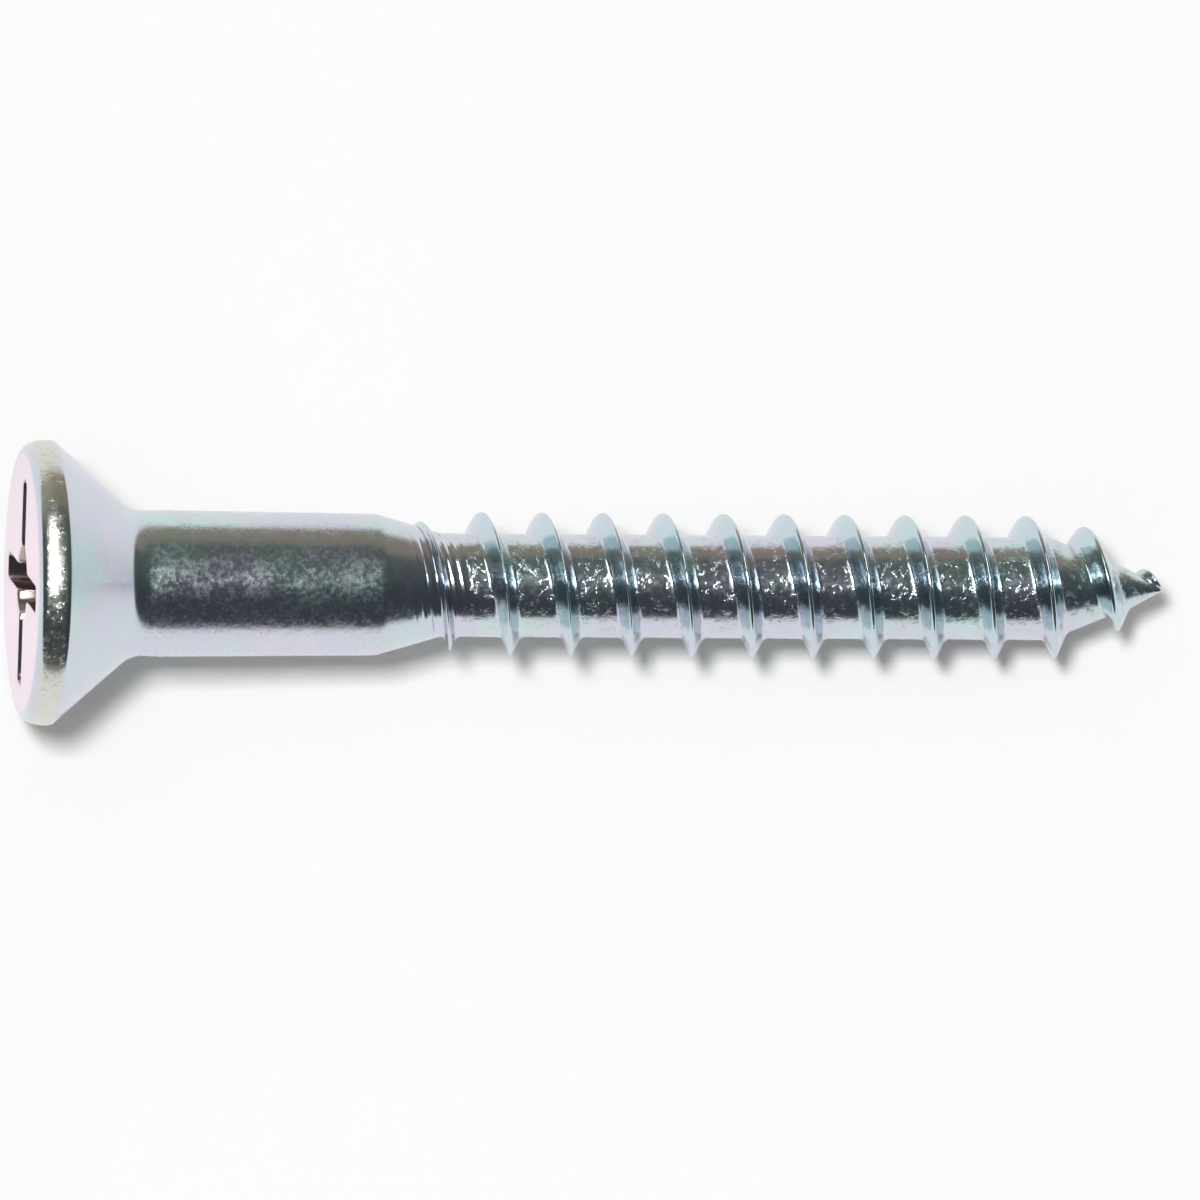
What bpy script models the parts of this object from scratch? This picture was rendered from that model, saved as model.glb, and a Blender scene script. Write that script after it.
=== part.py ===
"""Countersunk cross-recess wood screw, lying on its side along X, in metres.

The axis is the X axis. The head's flat face looks to -X and the gimlet point ends at +X. The
origin is on the axis, halfway along the screw. The thread is right-handed.
"""

import math

import bmesh
import bpy

MM = 0.001

# Number 12 gauge, sold as 1-3/4 inches long, with close to 11 threads to the inch.
LENGTH = 43.85 * MM
SHANK_RADIUS = 2.715 * MM
THREAD_PITCH = 2.33 * MM
ROOT_RADIUS = 1.975 * MM
CREST_RADIUS = 2.735 * MM

HEAD_RADIUS = 5.415 * MM
HEAD_EDGE_ROUND = 0.35 * MM
HEAD_RIM_HEIGHT = 1.19 * MM
COUNTERSINK_ANGLE = math.radians(82)
NECK_ROUND = 1.2 * MM

# Distances along the axis from the head's flat face.
SHANK_END = 13.65 * MM
ROOT_START = 16.1 * MM
TIP_RADIUS = 0.10 * MM

# (distance from the face, radius) at each bend of the core, and of the crests towards the point.
CORE_OUTLINE = (
    (SHANK_END, SHANK_RADIUS),
    (ROOT_START, ROOT_RADIUS),
    (39.5 * MM, ROOT_RADIUS),
    (41.5 * MM, 1.14 * MM),
    (42.4 * MM, 0.84 * MM),
    (43.7 * MM, 0.14 * MM),
    (LENGTH, TIP_RADIUS),
)
CREST_OUTLINE = (
    (39.7 * MM, CREST_RADIUS),
    (40.7 * MM, 2.43 * MM),
    (42.1 * MM, 1.90 * MM),
    (42.95 * MM, 0.90 * MM),
    (LENGTH, TIP_RADIUS),
)

RIDGE_FIRST_CREST = 15.18 * MM
RIDGE_END = 43.2 * MM
RIDGE_HALF_BASE = 0.54 * MM
RIDGE_HALF_CREST = 0.05 * MM
RIDGE_SUNK = 0.16 * MM
RIDGE_FIRST_TURN = -0.5
RIDGE_FULL_TURN = 1.0

RECESS_TURN = math.radians(23.5)
RECESS_DEPTH = 3.3 * MM
RECESS_WING_REACH = 3.9 * MM
RECESS_WING_WIDTH = 1.0 * MM
RECESS_WING_FLOOR_REACH = 1.75 * MM
RECESS_WING_FLOOR_WIDTH = 0.8 * MM
RECESS_CORE_RADIUS = 1.35 * MM
RECESS_CORE_FLOOR_RADIUS = 0.8 * MM
RECESS_CONE_DEPTH = 0.45 * MM
CUTTER_OVERRUN = 0.5 * MM

BLANK_SIDES = 36
RIDGE_STEPS_PER_TURN = 24
ARC_STEPS = 4
CORE_SIDES = 16


def clear_scene():
    for obj in list(bpy.data.objects):
        bpy.data.objects.remove(obj, do_unlink=True)


def zinc_plate():
    material = bpy.data.materials.new("bright_zinc_plate")
    material.use_nodes = True
    shader = material.node_tree.nodes["Principled BSDF"]
    shader.inputs["Base Color"].default_value = (0.72, 0.74, 0.78, 1)
    shader.inputs["Metallic"].default_value = 1.0
    shader.inputs["Roughness"].default_value = 0.25
    return material


def along(distance):
    """X of a point that lies this far from the head's flat face."""
    return distance - LENGTH / 2


def mix(start, end, share):
    return start + (end - start) * share


def clamp(value):
    return max(0.0, min(1.0, value))


def outline_radius(outline, distance):
    """Radius on an outline of straight stretches, level before its start and past its end."""
    for (start, first), (end, second) in zip(outline, outline[1:]):
        if distance < end:
            return mix(first, second, clamp((distance - start) / (end - start)))
    return outline[-1][1]


def arc(centre, radius, start, end):
    """Points of an arc in the profile's plane, from one angle to the other."""
    angles = [mix(start, end, step / ARC_STEPS) for step in range(ARC_STEPS + 1)]
    return [(centre[0] + radius * math.cos(a), centre[1] + radius * math.sin(a)) for a in angles]


def blank_profile():
    """(distance from the face, radius) along the outline of the turned blank, face to tip."""
    half_angle = COUNTERSINK_ANGLE / 2
    edge_centre = (HEAD_EDGE_ROUND, HEAD_RADIUS - HEAD_EDGE_ROUND)
    cone_end = HEAD_RIM_HEIGHT + (HEAD_RADIUS - SHANK_RADIUS) / math.tan(half_angle)
    neck_set_back = NECK_ROUND * math.tan(half_angle / 2)
    neck_centre = (cone_end + neck_set_back, SHANK_RADIUS + NECK_ROUND)

    points = [(0.0, 0.0)]
    points += arc(edge_centre, HEAD_EDGE_ROUND, math.pi, math.pi / 2)
    points.append((HEAD_RIM_HEIGHT, HEAD_RADIUS))
    points += arc(neck_centre, NECK_ROUND, -math.pi / 2 - half_angle, -math.pi / 2)
    points += CORE_OUTLINE
    points.append((LENGTH, 0.0))
    return points


def mesh_object(name, bm):
    bmesh.ops.recalc_face_normals(bm, faces=bm.faces)
    mesh = bpy.data.meshes.new(name)
    bm.to_mesh(mesh)
    bm.free()
    obj = bpy.data.objects.new(name, mesh)
    bpy.context.scene.collection.objects.link(obj)
    return obj


def turned_blank(name):
    """The headed and pointed blank, spun round the X axis from its profile."""
    bm = bmesh.new()
    verts = [bm.verts.new((along(distance), radius, 0)) for distance, radius in blank_profile()]
    edges = [bm.edges.new(pair) for pair in zip(verts, verts[1:])]
    bmesh.ops.spin(
        bm,
        geom=verts + edges,
        cent=(0, 0, 0),
        axis=(1, 0, 0),
        angle=math.tau,
        steps=BLANK_SIDES,
        use_duplicate=False,
    )
    bmesh.ops.remove_doubles(bm, verts=bm.verts, dist=0.0005 * MM)
    return mesh_object(name, bm)


def ridge_ring(bm, turn):
    """The ridge's section after this many turns, in the half-plane that holds the axis."""
    centre = RIDGE_FIRST_CREST + THREAD_PITCH * turn
    root = outline_radius(CORE_OUTLINE, centre)
    grown = clamp((turn - RIDGE_FIRST_TURN) / (RIDGE_FULL_TURN - RIDGE_FIRST_TURN))
    height = (outline_radius(CREST_OUTLINE, centre) - root) * grown
    slope = (RIDGE_HALF_BASE - RIDGE_HALF_CREST) / (CREST_RADIUS - ROOT_RADIUS)
    crest = max(root + height, root - RIDGE_SUNK / 2)
    foot = max(root - RIDGE_SUNK, TIP_RADIUS / 2)
    half_foot = RIDGE_HALF_CREST + slope * (crest - foot)
    outline = [
        (-half_foot, foot),
        (-RIDGE_HALF_CREST, crest),
        (RIDGE_HALF_CREST, crest),
        (half_foot, foot),
    ]
    angle = math.tau * turn
    return [
        bm.verts.new((along(centre + shift), radius * math.cos(angle), radius * math.sin(angle)))
        for shift, radius in outline
    ]


def thread_ridge(name):
    """The thread as a helical ridge whose foot is sunk in the core, closed at both ends."""
    bm = bmesh.new()
    last_turn = (RIDGE_END - RIDGE_FIRST_CREST) / THREAD_PITCH
    steps = round((last_turn - RIDGE_FIRST_TURN) * RIDGE_STEPS_PER_TURN)
    turns = [mix(RIDGE_FIRST_TURN, last_turn, step / steps) for step in range(steps + 1)]
    rings = [ridge_ring(bm, turn) for turn in turns]
    for ring, following in zip(rings, rings[1:]):
        for corner in range(len(ring)):
            after = (corner + 1) % len(ring)
            bm.faces.new((ring[corner], ring[after], following[after], following[corner]))
    bm.faces.new(rings[0])
    bm.faces.new(rings[-1])
    bmesh.ops.triangulate(bm, faces=bm.faces)
    return mesh_object(name, bm)


def recess_bar(name, angle):
    """A bar across the head whose two wings narrow and draw in towards the recess's floor."""
    bm = bmesh.new()
    cosine, sine = math.cos(angle), math.sin(angle)
    depth_share = CUTTER_OVERRUN / RECESS_DEPTH
    levels = [
        (
            -CUTTER_OVERRUN,
            mix(RECESS_WING_REACH, RECESS_WING_FLOOR_REACH, -depth_share),
            mix(RECESS_WING_WIDTH, RECESS_WING_FLOOR_WIDTH, -depth_share),
        ),
        (RECESS_DEPTH, RECESS_WING_FLOOR_REACH, RECESS_WING_FLOOR_WIDTH),
    ]
    rings = []
    for distance, reach, width in levels:
        corners = [(reach, width / 2), (-reach, width / 2), (-reach, -width / 2), (reach, -width / 2)]
        rings.append(
            [
                bm.verts.new((along(distance), u * cosine - v * sine, u * sine + v * cosine))
                for u, v in corners
            ]
        )
    for corner in range(4):
        after = (corner + 1) % 4
        bm.faces.new((rings[0][corner], rings[0][after], rings[1][after], rings[1][corner]))
    bm.faces.new(rings[0])
    bm.faces.new(rings[1])
    return mesh_object(name, bm)


def recess_core(name):
    """The round middle of the recess, with its conical floor."""
    bm = bmesh.new()
    depth_share = CUTTER_OVERRUN / RECESS_DEPTH
    mouth = mix(RECESS_CORE_RADIUS, RECESS_CORE_FLOOR_RADIUS, -depth_share)
    profile = [
        (-CUTTER_OVERRUN, 0.0),
        (-CUTTER_OVERRUN, mouth),
        (RECESS_DEPTH, RECESS_CORE_FLOOR_RADIUS),
        (RECESS_DEPTH + RECESS_CONE_DEPTH, 0.0),
    ]
    turn = RECESS_TURN + math.pi / CORE_SIDES
    verts = [
        bm.verts.new((along(distance), radius * math.cos(turn), radius * math.sin(turn)))
        for distance, radius in profile
    ]
    edges = [bm.edges.new(pair) for pair in zip(verts, verts[1:])]
    bmesh.ops.spin(
        bm,
        geom=verts + edges,
        cent=(0, 0, 0),
        axis=(1, 0, 0),
        angle=math.tau,
        steps=CORE_SIDES,
        use_duplicate=False,
    )
    bmesh.ops.remove_doubles(bm, verts=bm.verts, dist=0.0005 * MM)
    return mesh_object(name, bm)


def combine(target, other, operation):
    """A Boolean with a helper, which stays as a wire and isn't rendered."""
    other.hide_render = True
    other.display_type = "WIRE"
    modifier = target.modifiers.new(other.name, "BOOLEAN")
    modifier.object = other
    modifier.operation = operation
    modifier.solver = "EXACT"


def wood_screw():
    screw = turned_blank("wood_screw")
    combine(screw, thread_ridge("thread_ridge"), "UNION")
    combine(screw, recess_bar("recess_bar_upright", RECESS_TURN), "DIFFERENCE")
    combine(screw, recess_bar("recess_bar_level", RECESS_TURN + math.pi / 2), "DIFFERENCE")
    combine(screw, recess_core("recess_core"), "DIFFERENCE")
    screw.data.materials.append(zinc_plate())
    screw.data.shade_smooth()
    screw.data.set_sharp_from_angle(angle=math.radians(30))


clear_scene()
wood_screw()
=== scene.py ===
import math

import bpy
import numpy as np
from mathutils import Matrix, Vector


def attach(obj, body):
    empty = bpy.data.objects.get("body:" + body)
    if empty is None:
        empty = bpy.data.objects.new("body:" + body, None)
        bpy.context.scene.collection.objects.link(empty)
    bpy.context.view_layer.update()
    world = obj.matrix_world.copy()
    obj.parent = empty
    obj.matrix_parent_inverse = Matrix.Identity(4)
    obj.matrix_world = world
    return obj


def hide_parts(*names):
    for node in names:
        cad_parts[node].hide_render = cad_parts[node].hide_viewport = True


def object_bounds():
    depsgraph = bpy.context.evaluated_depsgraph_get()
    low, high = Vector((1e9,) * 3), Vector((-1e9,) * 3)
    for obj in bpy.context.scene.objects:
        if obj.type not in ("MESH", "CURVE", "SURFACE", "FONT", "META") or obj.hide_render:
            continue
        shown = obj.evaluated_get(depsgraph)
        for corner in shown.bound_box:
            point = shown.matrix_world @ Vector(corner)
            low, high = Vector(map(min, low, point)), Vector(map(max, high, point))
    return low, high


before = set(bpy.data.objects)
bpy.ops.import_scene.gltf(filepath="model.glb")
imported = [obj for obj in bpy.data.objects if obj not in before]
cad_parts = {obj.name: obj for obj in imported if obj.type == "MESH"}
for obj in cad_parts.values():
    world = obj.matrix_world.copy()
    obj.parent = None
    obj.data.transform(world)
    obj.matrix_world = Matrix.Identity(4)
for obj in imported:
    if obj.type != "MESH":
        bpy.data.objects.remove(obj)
cadLow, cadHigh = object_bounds()
print("frame loaded")

mm = 0.001
headFaceX = cadLow.x  # the head's flat face, where every distance along the screw starts
screwLength = cadHigh.x - cadLow.x
headRadius = (cadHigh.y - cadLow.y) / 2

columns = 160  # points round the axis, a multiple of 4 so that the recess keeps its symmetry
quarter = columns // 4
turnAngles = np.arange(columns) / columns * 2 * math.pi


def mixed(start, end, share):
    return start + (end - start) * share


def smoothStep(value, low, high):  # 0 below low, 1 above high, with level ends between
    share = np.clip((value - low) / (high - low), 0, 1)
    return share * share * (3 - 2 * share)


def softMax(a, b, blend):  # the larger of two, with the corner rounded over about the blend
    return (a + b + np.sqrt((a - b) ** 2 + blend**2)) / 2


def softMin(a, b, blend):
    return -softMax(-a, -b, blend)


def ripple(theta, along, seed, waves=7):
    # smooth unevenness between -1 and 1, the mean of a few sines that close round the axis
    draw = np.random.default_rng(seed)
    total = np.zeros(np.broadcast(theta, along).shape)
    for _ in range(waves):
        around, lengthwise = draw.integers(1, 6), draw.uniform(400, 2200)
        total = total + np.sin(around * theta + lengthwise * along + draw.uniform(0, 2 * math.pi))
    return total / waves


# the head, from the flat face's edge over the rim and down the countersink's cone
headLook = {
    "rimEnd": 1.12 * mm,  # where the cone's line would meet the head's full radius
    "crownRound": 1.8 * mm,  # the rim is crowned, fullest near the cone
    "crownFront": math.radians(20),  # how far the crown tilts towards the face and towards the cone
    "crownBack": math.radians(6),
    "cornerRound": 0.15 * mm,
    "coneHalfAngle": math.radians(41),
    "neckRound": 1.2 * mm,
    "shankRadius": 2.765 * mm,
    "edgeRows": 12,
    "crownRows": 10,
    "cornerRows": 7,
    "neckRows": 14,
}

recessLook = {
    "turn": math.radians(23.5),  # of the first wing, from +Y towards +Z
    "depth": 3.3 * mm,
    "reach": 3.92 * mm,  # of a wing from the axis
    "floorReach": 1.75 * mm,
    "width": 1.02 * mm,
    "floorWidth": 0.8 * mm,
    "core": 1.4 * mm,
    "floorCore": 0.85 * mm,
    "tipRound": 0.24 * mm,
    "coneDepth": 0.45 * mm,
    "lip": 0.09 * mm,
    "floorRows": (0.0, 0.45, 0.85),  # shares of the way from the floor's middle to the walls
    "wallRows": 12,
    "lipRows": 5,
}


def crossOutline(reach, width, core, tipRound):
    # a quarter of a cross whose wings have rounded tips and meet a round core, turned four times:
    # half a tip, a corner arc, a wing's side, the core's arc, and the same again mirrored
    half = width / 2
    tipCount, cornerCount, sideCount = 3, 4, 8
    coreCount = quarter - 2 * (tipCount + cornerCount + sideCount) + 1
    tip = np.linspace(0, half - tipRound, tipCount, endpoint=False)
    bend = np.linspace(0, math.pi / 2, cornerCount, endpoint=False)
    root = math.sqrt(core**2 - half**2)
    side = np.linspace(reach - tipRound, root, sideCount, endpoint=False)
    opening = math.atan2(half, root)
    swing = np.linspace(opening, math.pi / 2 - opening, coreCount)
    cornerU = reach - tipRound + tipRound * np.cos(bend)
    cornerV = half - tipRound + tipRound * np.sin(bend)
    u = np.concatenate([np.full(tipCount, reach), cornerU, side, core * np.cos(swing)])
    v = np.concatenate([tip, cornerV, np.full(sideCount, half), core * np.sin(swing)])
    mirrored = slice(tipCount + cornerCount + sideCount - 1, 0, -1)
    u, v = np.concatenate([u, v[mirrored]]), np.concatenate([v, u[mirrored]])
    turns = np.arange(4)[:, None] * math.pi / 2
    y = (u * np.cos(turns) - v * np.sin(turns)).ravel()
    z = (u * np.sin(turns) + v * np.cos(turns)).ravel()
    return y, z


def turnedCross(reach, width, core, tipRound):
    # the cross at its real angle, with its points shifted so that they stay in step with the columns
    y, z = crossOutline(reach, width, core, tipRound)
    a = recessLook["turn"]
    y, z = y * math.cos(a) - z * math.sin(a), y * math.sin(a) + z * math.cos(a)
    shift = round(a / (2 * math.pi) * columns)
    return np.roll(y, shift), np.roll(z, shift)


def recessRows():
    # levels of the cross from the floor's middle up to the rounded lip, as rows of x, y and z
    look = recessLook
    rows = []
    for share in look["floorRows"]:  # the floor is a shallow cone
        y, z = turnedCross(look["floorReach"], look["floorWidth"], look["floorCore"], look["tipRound"])
        rows.append((look["depth"] + look["coneDepth"] * (1 - share), y * share, z * share))
    depths = look["depth"] * (1 - np.linspace(0, 1, look["wallRows"]) ** 0.8)
    for depth in depths[:-1]:  # the wings narrow and draw in towards the floor
        share = depth / look["depth"]
        y, z = turnedCross(
            mixed(look["reach"], look["floorReach"], share),
            mixed(look["width"], look["floorWidth"], share),
            mixed(look["core"], look["floorCore"], share),
            look["tipRound"],
        )
        rows.append((max(depth, look["lip"] * 1.4), y, z))
    for angle in np.linspace(0.15, 1, look["lipRows"]) * math.pi / 2:  # the lip rolls over to the face
        grow = look["lip"] * (1 - math.cos(angle))
        y, z = turnedCross(
            look["reach"] + grow,
            look["width"] + 2 * grow,
            look["core"] + grow,
            look["tipRound"] + grow,
        )
        rows.append((look["lip"] * (1 - math.sin(angle)), y, z))
    return rows


def arcPoints(start, radius, fromTilt, toTilt, count):
    # (distance, radius) along an arc that starts at this point: a tilt is the angle from the
    # radial direction to the surface's normal, positive towards the face; a negative radius
    # makes a hollow fillet
    tilts = np.linspace(fromTilt, toTilt, count)
    centreS = start[0] + radius * math.sin(fromTilt)
    centreR = start[1] - radius * math.cos(fromTilt)
    return np.column_stack([centreS - radius * np.sin(tilts), centreR + radius * np.cos(tilts)])


def headProfile():
    # (distance from the face, radius): edge arc, crowned rim, corner, cone and neck fillet
    look = headLook
    cone, crown, corner = look["coneHalfAngle"], look["crownRound"], look["cornerRound"]
    front, back = look["crownFront"], look["crownBack"]
    neck, shank = look["neckRound"], look["shankRadius"]
    cornerRun = crown * math.sin(back) + corner * (math.sin(cone) - math.sin(back))
    cornerDrop = crown * (1 - math.cos(back)) + corner * (math.cos(back) - math.cos(cone))
    fullest = look["rimEnd"] + cornerDrop / math.tan(cone) - cornerRun  # where the rim is widest
    crownStart = (fullest - crown * math.sin(front), headRadius - crown * (1 - math.cos(front)))
    edge = crownStart[0] / (1 - math.sin(front))  # so that the edge arc starts on the face
    faceEdge = (0.0, crownStart[1] - edge * math.cos(front))
    edgeArc = arcPoints(faceEdge, edge, math.pi / 2, front, look["edgeRows"])
    crownArc = arcPoints(edgeArc[-1], crown, front, -back, look["crownRows"])
    cornerArc = arcPoints(crownArc[-1], corner, -back, -cone, look["cornerRows"])
    coneEnd = look["rimEnd"] + (headRadius - shank) / math.tan(cone)
    setBack = neck * math.tan(cone / 2)
    neckStart = np.array([coneEnd - setBack * math.cos(cone), shank + setBack * math.sin(cone)])
    stretch = np.array([0.03, 0.15, 0.4, 0.7, 0.92, 0.98])[:, None]
    coneLine = mixed(cornerArc[-1], neckStart, stretch)
    neckArc = arcPoints(neckStart, -neck, -cone, 0, look["neckRows"])
    return np.concatenate([edgeArc, crownArc[1:], cornerArc[1:], coneLine, neckArc])


def faceRows(lipY, lipZ, edgeRadius):  # the flat face, drawn out from the recess's lip to its edge
    shares = (0.04, 0.15, 0.35, 0.6, 0.82, 0.96)
    y, z = edgeRadius * np.cos(turnAngles), edgeRadius * np.sin(turnAngles)
    return [(0.0, mixed(lipY, y, share), mixed(lipZ, z, share)) for share in shares]


# the body: the shank, the thread with its run-out, and the gimlet point
threadLook = {
    "pitch": 2.33 * mm,
    "firstCrest": 15.18 * mm,  # distance of the crest at angle 0 where the thread begins
    "firstTurn": -0.5,
    "fullTurn": 1.0,
    "offCentre": 0.05 * mm,  # the crests stand a little further out on the +Y side
    "halfCrest": 0.03 * mm,
    "blunting": 0.035 * mm,  # the dies fill the crests less towards the point
    "bluntTurns": (2.5, 6),  # the turns over which that sets in
    "flankAngle": math.radians(27),
    "footRound": 0.22 * mm,
    "footFullAt": 0.7 * mm,  # the feet have their full round where the ridge is this high
    "crestRound": 0.03 * mm,
    "lastStretch": 0.12 * mm,  # the last turn is drawn out towards the point
    "stretched": (40.8 * mm, 41.8 * mm),  # where that sets in
    "nicks": 0.012 * mm,  # unevenness of the crests
    "uneven": 0.004 * mm,  # unevenness of all that the dies have rolled
    "rolled": (13 * mm, 15 * mm),  # where that sets in
    "shankRows": 30,
    "gridTurns": 13,  # turns of helical rows, from the shank to just before the tip
    "gridEnd": 0.10 * mm,  # how far before the tip they end
}
tipLook = {
    "domeFrom": 0.04 * mm,  # the last ring's distance from the tip, and its radius
    "domeRadius": 0.07 * mm,
}

# distance from the face and radius where an outline bends, and how far each bend is eased
coreKnots = {
    "s": np.array([4.62, 5.3, 13.55, 16.05, 39.5, 41.5, 42.4, 43.72, 43.85]) * mm,
    "r": np.array([2.765, 2.785, 2.69, 1.965, 1.955, 1.14, 0.84, 0.13, 0.10]) * mm,
    "ease": 0.13 * mm,
}
crestKnots = {
    "s": np.array([5.0, 39.7, 40.7, 42.0, 42.9, 43.25, 43.65, 43.85]) * mm,
    "r": np.array([2.735, 2.735, 2.43, 1.75, 0.96, 0.78, 0.28, 0.10]) * mm,
    "ease": 0.3 * mm,
}


def eased(s, knots):  # a broken line, averaged over a short stretch so that its corners are eased
    offsets = np.linspace(-knots["ease"], knots["ease"], 9)
    return sum(np.interp(s + offset, knots["s"], knots["r"]) for offset in offsets) / len(offsets)


def coreRadius(s):
    return eased(s, coreKnots)


def ridgeSection(aside, height, halfCrest):
    # a symmetrical ridge this high: a straight flank from the crest, then an arc that is tangent to
    # the flank and to the core, then the bare core
    look = threadLook
    slope = math.tan(look["flankAngle"])
    arc = look["footRound"] * np.clip(height / look["footFullAt"], 0.02, 1)
    tangent = arc * math.tan((math.pi / 2 - look["flankAngle"]) / 2)
    corner = halfCrest + height * slope  # where the flank's line would meet the core
    flank = height - (aside - halfCrest) / slope
    fromCentre = np.clip(corner + tangent - aside, 0, arc * 0.999)
    fillet = arc - np.sqrt(arc**2 - fromCentre**2)
    onFlank = aside < corner - tangent * math.sin(look["flankAngle"])
    return np.where(onFlank, flank, np.where(aside < corner + tangent, fillet, 0))


def threadPlace(s, theta):
    # how many turns the nearest crest is from the first, and how far along the axis it lies
    look = threadLook
    stretch = look["lastStretch"] * smoothStep(s, *look["stretched"])
    phase = (s - stretch - look["firstCrest"]) / look["pitch"] - theta / (2 * math.pi)
    nearest = np.round(phase)
    return nearest + theta / (2 * math.pi), (phase - nearest) * look["pitch"]


def ridgeHeight(s, theta):
    # the thread's height over the core: its section carried along a right-hand helix, growing in
    # over the run-out and following the crests' outline at the point
    look = threadLook
    turn, aside = threadPlace(s, theta)
    crestS = look["firstCrest"] + look["pitch"] * turn
    outer = eased(crestS, crestKnots) + look["offCentre"] * np.cos(theta)
    grown = np.clip((turn - look["firstTurn"]) / (look["fullTurn"] - look["firstTurn"]), 0, 1)
    outer = outer + look["nicks"] * ripple(turn * 6.3, turn * 0.004, 23)
    height = np.maximum(outer - coreRadius(crestS), 0) * grown
    halfCrest = look["halfCrest"] + smoothStep(turn, *look["bluntTurns"]) * look["blunting"]
    ridge = ridgeSection(np.abs(aside), height, halfCrest)
    crown = softMin(ridge, height, look["crestRound"] + (halfCrest - look["halfCrest"]) * 1.5)
    return np.maximum(crown, 0) * smoothStep(grown, 0, 0.02)


def bodyRadius(s, theta):
    uneven = ripple(theta, s, 11) * threadLook["uneven"]
    return coreRadius(s) + ridgeHeight(s, theta) + uneven * smoothStep(s, *threadLook["rolled"])


def rowPhases():
    # where the rows of one turn lie, as shares of the pitch from its start: close together on the
    # crest, the flanks and the feet, and wide apart on the bare core
    pitch = threadLook["pitch"]
    crest, flank = [0.02, 0.045, 0.075, 0.11], [0.16, 0.22, 0.28, 0.33]
    foot, core = [0.37, 0.405, 0.44, 0.475, 0.51, 0.55], [0.64, 0.82, 1.0]
    aside = np.array(crest + flank + foot + core) * mm
    ring = np.concatenate([[0], aside, pitch - aside[::-1]])
    start = (threadLook["firstCrest"] - threadStart()) / pitch
    return np.sort((ring / pitch + start) % 1)


def threadEnd():
    return screwLength - threadLook["gridEnd"]


def threadStart():  # whole turns back from the end, so that helical rows close on straight rings
    return threadEnd() - threadLook["gridTurns"] * threadLook["pitch"]


def bodyRows():
    # distances of the helical rows: a wedge that opens out of one point of the first ring, whole
    # turns of rows that climb by a pitch each time round, and a wedge that closes on the last ring
    pitch = threadLook["pitch"]
    wholeTurns = threadLook["gridTurns"] - 1  # the two wedges take up one turn between them
    phases = rowPhases()
    phases = np.concatenate([[0], phases[phases > 1e-6]])
    climb = turnAngles / (2 * math.pi)
    opening = threadStart() + phases[:, None] * pitch * climb[None, :]
    turns = (np.arange(wholeTurns)[:, None] + phases[None, :]).ravel()
    middle = threadStart() + pitch * (turns[:, None] + climb[None, :])
    base = threadStart() + pitch * (wholeTurns + climb)
    closing = base + phases[:, None] * pitch * (1 - climb[None, :])
    last = np.full((1, columns), threadEnd())
    return np.concatenate([opening, middle, closing, last]), len(phases)


def rowIndex(rows, opening, perTurn):
    # which point each row meets at each column, with one more column where the row comes round:
    # a straight ring comes back to itself, and a helical row comes round to the row one turn on
    index = np.arange(rows * columns).reshape(rows, columns)
    wrap = index[:, 0].copy()
    first, shear = opening, opening + perTurn
    last = shear + threadLook["gridTurns"] * perTurn  # the straight ring that ends the helical rows
    index[first + 1 : shear + 1, 0] = index[first, 0]
    wrap[first : first + perTurn] = index[shear : shear + perTurn, 0]
    wrap[shear : last - perTurn + 1] = index[shear + perTurn : last + 1, 0]
    wrap[last - perTurn + 1 : last + 1] = index[last, 0]
    return np.column_stack([index, wrap])


def gridFaces(index):  # two triangles a cell, leaving out those that close up at a pole or a wedge
    a, b = index[:-1, :-1].ravel(), index[:-1, 1:].ravel()
    d, c = index[1:, :-1].ravel(), index[1:, 1:].ravel()
    faces = np.concatenate([np.column_stack([a, b, c]), np.column_stack([a, c, d])])
    apart = np.all(faces != np.roll(faces, 1, axis=1), axis=1)
    return faces[apart]


# where the finish changes: a pair is where a weight sets in, and four values where it comes and goes
finishPlaces = {
    "rim": np.array([0.10, 0.30, 0.95, 1.10]) * mm,  # distances from the face
    "shank": np.array([3.9, 4.6]) * mm,
    "runOut": np.array([14.6, 15.3, 16.3, 17.1]) * mm,
    "foot": np.array([0, 0.03, 0.15, 0.40]) * mm,  # heights over the core
    "flank": np.array([0.04, 0.20]) * mm,
    "besideCrest": np.array([0.02, 0.08]) * mm,  # distance from the crest, along the axis
    "faceGrain": 0.12,  # how grainy these are, where the shank and the rim are 1
    "coneGrain": 0.3,
    "threadGrain": 0.8,
    "flankSmooth": 0.8,  # how much of the thread's grain is lost on the flanks and on the run-out
    "runOutSmooth": 0.9,
    "footCombed": 0.3,
}


def between(value, places):  # 1 between the middle two places, and 0 beyond the outer two
    return smoothStep(value, places[0], places[1]) * (1 - smoothStep(value, places[2], places[3]))


def finishWeights(straightS, helixS):
    # how grainy the plating is: the cone and the flanks are smooth, the rest is matt in patches;
    # which flank a point is on, -1 towards the head and +1 towards the point; and how much the dies
    # have combed it, most over the run-out and a little at the thread's feet
    places = finishPlaces
    grainy = np.maximum(between(straightS, places["rim"]), smoothStep(straightS, *places["shank"]))
    aside = threadPlace(helixS, turnAngles)[1]
    height = ridgeHeight(helixS, turnAngles)
    onFlank = smoothStep(height, *places["flank"])
    side = onFlank * smoothStep(np.abs(aside), *places["besideCrest"]) * np.sign(aside)
    foot = between(height, places["foot"])
    runOut = between(helixS, places["runOut"])
    none = np.zeros(straightS.shape)
    onStraight = mixed(places["coneGrain"], 1, grainy)
    left = (1 - places["flankSmooth"] * onFlank) * (1 - places["runOutSmooth"] * runOut)
    grain = np.concatenate([onStraight, places["threadGrain"] * left])
    combed = np.concatenate([none, np.maximum(runOut, places["footCombed"] * foot)])
    return grain, np.concatenate([none, side]), combed


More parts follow.
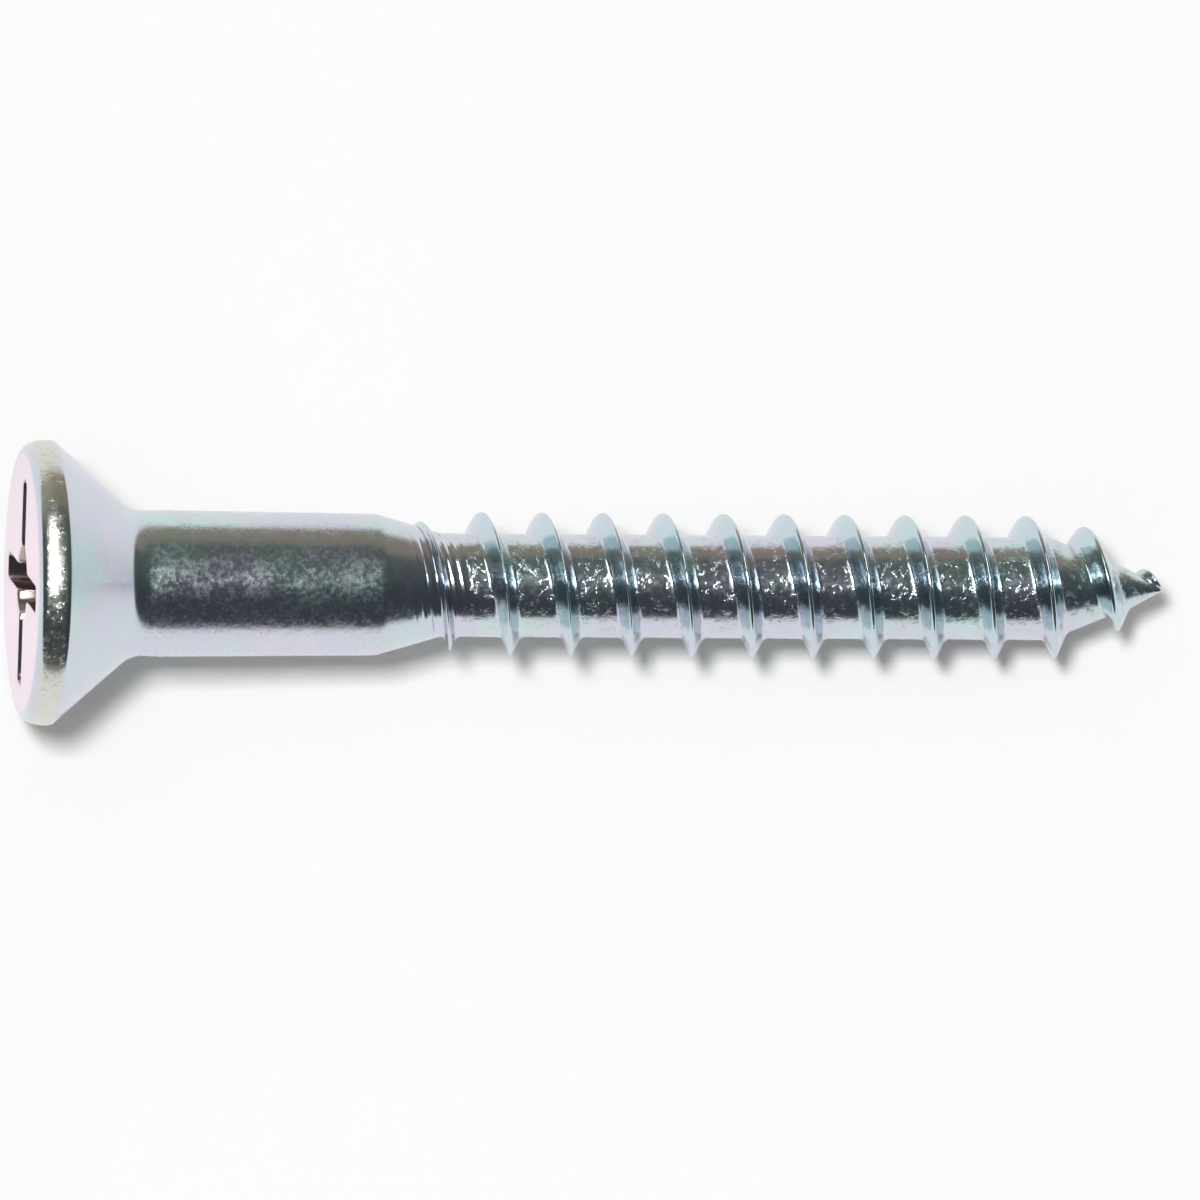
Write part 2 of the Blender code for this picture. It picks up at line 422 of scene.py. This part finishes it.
def makeScrew():
    # one closed grid of rows by columns: the recess and the face, the rim, cone and shank, the
    # helical rows of the thread, and the tip
    profile = headProfile()
    recess = recessRows()
    cross = recess + faceRows(recess[-1][1], recess[-1][2], profile[0, 1])
    crossX = np.array([np.full(columns, row[0]) for row in cross])
    crossY = np.array([np.broadcast_to(row[1], columns) for row in cross])
    crossZ = np.array([np.broadcast_to(row[2], columns) for row in cross])

    shankS = np.linspace(profile[-1, 0], threadStart(), threadLook["shankRows"])[1:-1]
    straightS = np.concatenate([profile[:, 0], shankS])[:, None] + np.zeros(columns)
    straightR = np.concatenate([profile[:, 1], coreRadius(shankS)])[:, None] + np.zeros(columns)

    helixS, perTurn = bodyRows()
    helixR = bodyRadius(helixS, turnAngles)
    tipS = np.array([screwLength - tipLook["domeFrom"], screwLength])[:, None] + np.zeros(columns)
    tipR = np.array([tipLook["domeRadius"], 0.0])[:, None] + np.zeros(columns)

    turnedS = np.concatenate([straightS, helixS, tipS])
    turnedR = np.concatenate([straightR, helixR, tipR])
    x = np.concatenate([crossX, turnedS]) + headFaceX
    y = np.concatenate([crossY, turnedR * np.cos(turnAngles)])
    z = np.concatenate([crossZ, turnedR * np.sin(turnAngles)])
    grain, side, combed = finishWeights(straightS, np.concatenate([helixS, tipS]))
    inside = 1 + smoothStep(crossX, 0, recessLook["lip"])
    tone = np.concatenate([inside, -between(turnedS, finishPlaces["rim"])])
    weights = {
        "grain": np.concatenate([np.full(crossX.shape, finishPlaces["faceGrain"]), grain]),
        "side": np.concatenate([np.zeros(crossX.shape), side]),
        "combed": np.concatenate([np.zeros(crossX.shape), combed]),
        "tone": tone,  # 2 in the recess, 1 on the face, 0 on the body and -1 on the rim
    }

    opening = len(cross) + len(straightS)
    index = rowIndex(len(x), opening, perTurn)
    index[0] = index[0, 0]
    index[-1] = index[-1, 0]
    faces = gridFaces(index)
    kept, faces = np.unique(faces, return_inverse=True)
    faces = faces.reshape(-1, 3)
    points = np.column_stack([x.ravel(), y.ravel(), z.ravel()])[kept]

    mesh = bpy.data.meshes.new("screwSkin")
    mesh.from_pydata(points.tolist(), [], faces.tolist())
    mesh.update()
    mesh.shade_smooth()
    for name, values in weights.items():
        mesh.attributes.new(name, "FLOAT", "POINT").data.foreach_set("value", values.ravel()[kept])
    screw = bpy.data.objects.new("plated_screw", mesh)
    bpy.context.scene.collection.objects.link(screw)
    print("screw surface:", len(points), "points,", len(faces), "triangles")
    return screw


# the plating
zincLook = {
    "mint": (0.58, 0.72, 0.73, 1),
    "plain": (0.61, 0.67, 0.71, 1),
    "lavender": (0.62, 0.65, 0.75, 1),
    "rose": (0.67, 0.66, 0.74, 1),
    "face": (0.84, 0.72, 0.79, 1),
    "grazing": (1.0, 0.94, 0.98, 1),  # seen at a glancing angle, the plating turns pink
    # painted shade: darker and browner than the plating, standing in for the shade deep in the recess
    "recess": (0.42, 0.34, 0.33, 1),
    "rim": (0.68, 0.69, 0.61, 1),
    "headFlank": (0.55, 0.69, 0.73, 1),  # the plating shows bluer on the flank towards the head
    # greener and painted darker, as painted shade, on the flank towards the point
    "shadedPointFlank": (0.45, 0.63, 0.67, 1),
    "flankShare": 0.75,  # how far those two, and then the other zones, take over from the clouds
    "faceShare": 0.85,
    "recessShadeShare": 0.9,
    "rimShare": 0.85,
    "tintScale": 380,  # this and the other noise scales are in waves a metre
    "patchScale": 1300,
    "patchRange": (0.32, 0.70, 0.0, 0.45),  # noise from and to, and how matt it makes the metal
    "grainScale": 5200,
    "grainRange": (0.30, 0.70, 0.0, 0.55),
    "smooth": 0.17,
    "matt": 0.30,
    "rimMatt": 0.35,  # at least this share of the way to matt on the rim
    "crystalHeight": 0.0048 * mm,
    "fleckScale": 3000,
    "fleckRange": (0.53, 0.66),
    "fleckHeight": 0.019 * mm,
    "fleckPlaces": (14 * mm, 17 * mm),  # where the flecks grow from the shank's share to full height
    "shankFlecks": 0.15,
    "rimFlecks": 0.5,
    "rollMarks": ((13, 0.2), (6, 0.6)),  # helical lines in each pitch of the run-out, and their share
    "rollHeight": 0.025 * mm,
}


def makeZinc():
    look = zincLook
    material = bpy.data.materials.new("bluePassivatedZinc")
    material.use_nodes = True
    nodes, links = material.node_tree.nodes, material.node_tree.links
    shader = nodes["Principled BSDF"]
    shader.inputs["Metallic"].default_value = 1.0
    shader.inputs["Specular Tint"].default_value = look["grazing"]
    place = nodes.new("ShaderNodeTexCoord").outputs["Object"]

    def connect(value, socket):
        if isinstance(value, bpy.types.NodeSocket):
            links.new(value, socket)
        else:
            socket.default_value = value

    def noise(scale, detail, roughness=0.55):
        node = nodes.new("ShaderNodeTexNoise")
        node.inputs["Scale"].default_value = scale
        node.inputs["Detail"].default_value = detail
        node.inputs["Roughness"].default_value = roughness
        links.new(place, node.inputs["Vector"])
        return node.outputs["Fac"]

    def worked(operation, a, b=0.0):
        node = nodes.new("ShaderNodeMath")
        node.operation = operation
        connect(a, node.inputs[0])
        connect(b, node.inputs[1])
        return node.outputs["Value"]

    def step(value, low, high, start=0.0, end=1.0):
        node = nodes.new("ShaderNodeMapRange")
        node.interpolation_type = "SMOOTHSTEP"
        for socket, amount in zip(node.inputs, (value, low, high, start, end)):
            connect(amount, socket)
        return node.outputs["Result"]

    def attribute(name):
        node = nodes.new("ShaderNodeAttribute")
        node.attribute_name = name
        return node.outputs["Fac"]

    def ramp(value, stops):
        node = nodes.new("ShaderNodeValToRGB")
        elements = node.color_ramp.elements
        while len(elements) < len(stops):
            elements.new(0.5)
        for element, (position, colour) in zip(elements, stops):
            element.position, element.color = position, colour
        links.new(value, node.inputs["Fac"])
        return node.outputs["Color"]

    def mixColour(share, start, end):
        node = nodes.new("ShaderNodeMixRGB")
        for socket, value in zip(node.inputs, (share, start, end)):
            connect(value, socket)
        return node.outputs["Color"]

    # pastel interference tints in soft clouds, bluer and greener on the thread's flanks, with painted
    # shade on the flank towards the point; pink on the flat face; dark brown painted shade in the
    # recess; olive rim
    tint = ramp(
        noise(look["tintScale"], 2),
        [(0.38, look["mint"]), (0.50, look["plain"]), (0.60, look["lavender"]), (0.72, look["rose"])],
    )
    side = attribute("side")
    tint = mixColour(step(side, -0.2, -1.0, 0.0, look["flankShare"]), tint, look["headFlank"])
    # painted shade: the flank towards the point is coloured darker and greener
    tint = mixColour(step(side, 0.2, 1.0, 0.0, look["flankShare"]), tint, look["shadedPointFlank"])
    tone = attribute("tone")
    tint = mixColour(step(tone, 0.0, 1.0, 0.0, look["faceShare"]), tint, look["face"])
    # painted shade: the recess, where the tone reaches 2, is coloured dark brown
    tint = mixColour(step(tone, 1.0, 2.0, 0.0, look["recessShadeShare"]), tint, look["recess"])
    tint = mixColour(step(tone, 0.0, -1.0, 0.0, look["rimShare"]), tint, look["rim"])
    links.new(tint, shader.inputs["Base Color"])

    # matt crystals crowd together in patches, with brighter metal between them
    grain = attribute("grain")
    patches = step(noise(look["patchScale"], 4, 0.65), *look["patchRange"])
    crystals = step(noise(look["grainScale"], 3, 0.7), *look["grainRange"])
    matt = worked("MULTIPLY", grain, worked("ADD", patches, crystals))
    matt = worked("MAXIMUM", matt, step(tone, 0.0, -1.0, 0.0, look["rimMatt"]))
    links.new(step(matt, 0.0, 1.0, look["smooth"], look["matt"]), shader.inputs["Roughness"])

    # the dies' marks are two sines along the helix, one coarser than the other
    parts = nodes.new("ShaderNodeSeparateXYZ")
    links.new(place, parts.inputs["Vector"])
    along = worked("SUBTRACT", parts.outputs["X"], headFaceX)
    angle = worked("ARCTAN2", parts.outputs["Z"], parts.outputs["Y"])
    marks = 0.0
    for count, share in look["rollMarks"]:
        wave = worked("MULTIPLY", along, 2 * math.pi * count / threadLook["pitch"])
        phase = worked("SUBTRACT", wave, worked("MULTIPLY", angle, float(count)))
        marks = worked("ADD", worked("MULTIPLY", worked("SINE", phase), share), marks)
    marks = worked("MULTIPLY", marks, worked("MULTIPLY", attribute("combed"), look["rollHeight"]))

    # crystals stand up as a fine bump where the plating is grainy, and coarser flecks stand highest
    # where the thread was rolled
    crystal = noise(look["grainScale"] * 0.8, 3, 0.75)
    crystal = worked("MULTIPLY", worked("MULTIPLY", crystal, grain), look["crystalHeight"])
    flecks = step(noise(look["fleckScale"], 4, 0.65), *look["fleckRange"])
    flecks = worked("MULTIPLY", flecks, worked("MULTIPLY", grain, worked("ADD", patches, 0.35)))
    full = look["fleckHeight"]
    height = step(along, *look["fleckPlaces"], full * look["shankFlecks"], full)
    height = worked("ADD", height, step(tone, 0.0, -1.0, 0.0, full * look["rimFlecks"]))
    flecks = worked("MULTIPLY", flecks, height)
    bump = nodes.new("ShaderNodeBump")
    bump.inputs["Distance"].default_value = 1.0
    links.new(worked("ADD", worked("ADD", crystal, marks), flecks), bump.inputs["Height"])
    links.new(bump.outputs["Normal"], shader.inputs["Normal"])
    return material


# the screw leans on its head and its last full crest, so a level table slopes by this in its frame
floorRise = headRadius - crestKnots["r"][1]
floorRun = crestKnots["s"][1] - headLook["rimEnd"]
floorLean = math.atan2(floorRise, floorRun)

floorLook = {
    "halfSide": 1.5,
    "closeRows": 0.03,  # rows of points lie close together this far both ways
    "nextRows": 0.2,
    "gap": 0.02 * mm,  # under the rim of the head
    "easing": 0.15 * mm,
    "slopeShare": 0.82,  # gentler than the lean, so that the sheet's far end hides none of the head
    "paper": (0.9, 0.9, 0.915, 1),
}


def makeFloor():
    # a sheet that slopes with the resting screw and is level beyond both of its ends: its height is
    # the slope's line held between two levels, with both bends eased
    look = floorLook
    reach, following = look["halfSide"], look["nextRows"]
    close = np.linspace(-look["closeRows"], look["closeRows"], 61)
    x = np.concatenate([[-reach, -following], close, [following, reach]])
    lowest = -headRadius - look["gap"]
    slope = math.tan(floorLean) * look["slopeShare"]
    line = lowest + (x - headFaceX - headLook["rimEnd"]) * slope
    highest = lowest + (screwLength - headLook["rimEnd"]) * slope
    z = softMin(softMax(line, lowest, look["easing"]), highest, look["easing"])
    xs, ys = np.meshgrid(x, [-reach, reach])
    points = np.column_stack([xs.ravel(), ys.ravel(), np.tile(z, 2)])
    near = np.arange(len(x) - 1)
    far = near + len(x)
    mesh = bpy.data.meshes.new("floor")
    mesh.from_pydata(points.tolist(), [], np.column_stack([near, near + 1, far + 1, far]).tolist())
    mesh.shade_smooth()
    floor = bpy.data.objects.new("floor", mesh)
    bpy.context.scene.collection.objects.link(floor)
    paper = bpy.data.materials.new("palePaper")
    paper.use_nodes = True
    shader = paper.node_tree.nodes["Principled BSDF"]
    shader.inputs["Base Color"].default_value = look["paper"]
    shader.inputs["Roughness"].default_value = 0.9
    shader.inputs["Specular IOR Level"].default_value = 0.1
    mesh.materials.append(paper)


cameraLook = {
    "lens": 1000,  # a long lens from far away
    "towardHead": math.radians(8.8),  # how far it turns from straight above, both ways
    "towardFront": math.radians(13),
    "roll": math.radians(0.35),
    "frameWidth": 45.6 * mm,  # what it takes in at the screw
    "aimRight": 0.25 * mm,  # its aim's distance from the screw's middle
    "aimUp": -0.53 * mm,
}


def placed(right, up, back, place):
    # a camera's or a light's matrix, from its three axes and its place
    matrix = np.eye(4)
    matrix[:3, 0], matrix[:3, 1], matrix[:3, 2], matrix[:3, 3] = right, up, back, place
    return Matrix(matrix.tolist())


def sideways(back):  # the direction to the right of one that looks back, kept square to it
    right = np.array([1.0, 0, 0]) - back[0] * back
    right /= np.linalg.norm(right)
    return right, np.cross(back, right)


def makeCamera():
    look = cameraLook
    along, across = look["towardHead"], look["towardFront"]
    back = np.array([
        -math.sin(along), -math.cos(along) * math.sin(across), math.cos(along) * math.cos(across)
    ])
    right, up = sideways(back)
    cosine, sine = math.cos(look["roll"]), math.sin(look["roll"])
    right, up = right * cosine + up * sine, up * cosine - right * sine
    data = bpy.data.cameras.new("camera")
    data.lens = look["lens"]
    distance = look["frameWidth"] * data.lens / data.sensor_width
    data.clip_start = distance / 20
    data.clip_end = distance * 10
    camera = bpy.data.objects.new("camera", data)
    aim = right * look["aimRight"] + up * look["aimUp"]
    camera.matrix_world = placed(right, up, back, aim + back * distance)
    bpy.context.scene.collection.objects.link(camera)
    bpy.context.scene.camera = camera


panelLook = {
    "distance": 3.0,
    "panels": {
        # direction, size along and across the screw, energy, and whether the metal mirrors it (True)
        # or it lights the matt table (False)
        "overheadPanel": ((-0.29, -0.07, 0.95), (0.55, 0.70), 60, True),
        "rearPanel": ((-0.28, 0.40, 0.87), (0.60, 1.5), 16, True),
        "tableLamp": ((-0.27, -0.05, 0.96), (0.45, 0.60), 67, False),
    },
}


def makePanels():
    for name, (direction, size, energy, mirrored) in panelLook["panels"].items():
        data = bpy.data.lights.new(name, "AREA")
        data.shape = "RECTANGLE"
        data.size, data.size_y = size
        data.energy = energy
        light = bpy.data.objects.new(name, data)
        light.visible_glossy = mirrored
        light.visible_diffuse = not mirrored
        back = np.array(direction) / np.linalg.norm(direction)
        right, up = sideways(back)
        light.matrix_world = placed(right, up, back, back * panelLook["distance"])
        bpy.context.scene.collection.objects.link(light)


roomLook = {
    "white": (0.93, 0.93, 0.94, 1),
    "wall": (0.31, 0.25, 0.20, 1),
    "wallByHead": (0.36, 0.37, 0.30, 1),
    "wallTop": (0.22, 0.22, 0.18, 1),
    "dimBehind": (0.100, 0.118, 0.110, 1),
    "dimFront": (0.048, 0.052, 0.061, 1),
    "fill": (0.372, 0.36, 0.335, 1),  # what the matt table gets from the room
    # sines of the angles between which one colour turns into the next
    "horizon": (0.03, -0.01),  # above the table
    "wallHeight": (0.66, 0.52),
    "wallTopHeight": (0.40, 0.54),
    "wallBehind": (0.45, 0.62),  # away from the front
    "frontToBehind": (-0.5, 0.6),
    "towardHead": (0.05, -0.35),  # along the screw
}


def makeRoom():
    # what the metal mirrors: white table up to the horizon, a warm grey wall low behind the screw,
    # and a dim room above; seen directly it is as pale as the table
    look = roomLook
    world = bpy.data.worlds.new("room")
    world.use_nodes = True
    bpy.context.scene.world = world
    nodes, links = world.node_tree.nodes, world.node_tree.links
    background = nodes["Background"]
    place = nodes.new("ShaderNodeTexCoord")

    def height(normal):  # sine of a direction's angle above the plane that has this normal
        dot = nodes.new("ShaderNodeVectorMath")
        dot.operation = "DOT_PRODUCT"
        links.new(place.outputs["Generated"], dot.inputs[0])
        dot.inputs[1].default_value = normal
        return dot.outputs["Value"]

    def step(value, places):
        low, high = places
        node = nodes.new("ShaderNodeMapRange")
        node.interpolation_type = "SMOOTHSTEP"
        links.new(value, node.inputs["Value"])
        node.inputs["From Min"].default_value = low
        node.inputs["From Max"].default_value = high
        return node.outputs["Result"]

    def product(a, b):
        node = nodes.new("ShaderNodeMath")
        node.operation = "MULTIPLY"
        links.new(a, node.inputs[0])
        links.new(b, node.inputs[1])
        return node.outputs["Value"]

    def blended(share, start, end):
        node = nodes.new("ShaderNodeMixRGB")
        links.new(share, node.inputs["Fac"])
        for socket, value in (("Color1", start), ("Color2", end)):
            if isinstance(value, tuple):
                node.inputs[socket].default_value = value
            else:
                links.new(value, node.inputs[socket])
        return node.outputs["Color"]

    above = height((-math.sin(floorLean), 0, math.cos(floorLean)))
    behind = height((0, 1, 0))
    along = height((1, 0, 0))
    seen = blended(step(behind, look["frontToBehind"]), look["dimFront"], look["dimBehind"])
    wall = blended(step(along, look["towardHead"]), look["wall"], look["wallByHead"])
    wall = blended(step(above, look["wallTopHeight"]), wall, look["wallTop"])
    onWall = product(step(behind, look["wallBehind"]), step(above, look["wallHeight"]))
    seen = blended(onWall, seen, wall)
    seen = blended(step(above, look["horizon"]), seen, look["white"])
    path = nodes.new("ShaderNodeLightPath")
    seen = blended(path.outputs["Is Diffuse Ray"], seen, look["fill"])
    seen = blended(path.outputs["Is Camera Ray"], seen, look["white"])
    links.new(seen, background.inputs["Color"])


bpy.context.scene.view_settings.view_transform = "Standard"
makeCamera()
makePanels()
makeRoom()
makeFloor()
print("camera, light and floor placed")
screw = makeScrew()
screw.data.materials.append(makeZinc())
print("screw plated")
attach(screw, "root")
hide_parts("wood_screw")
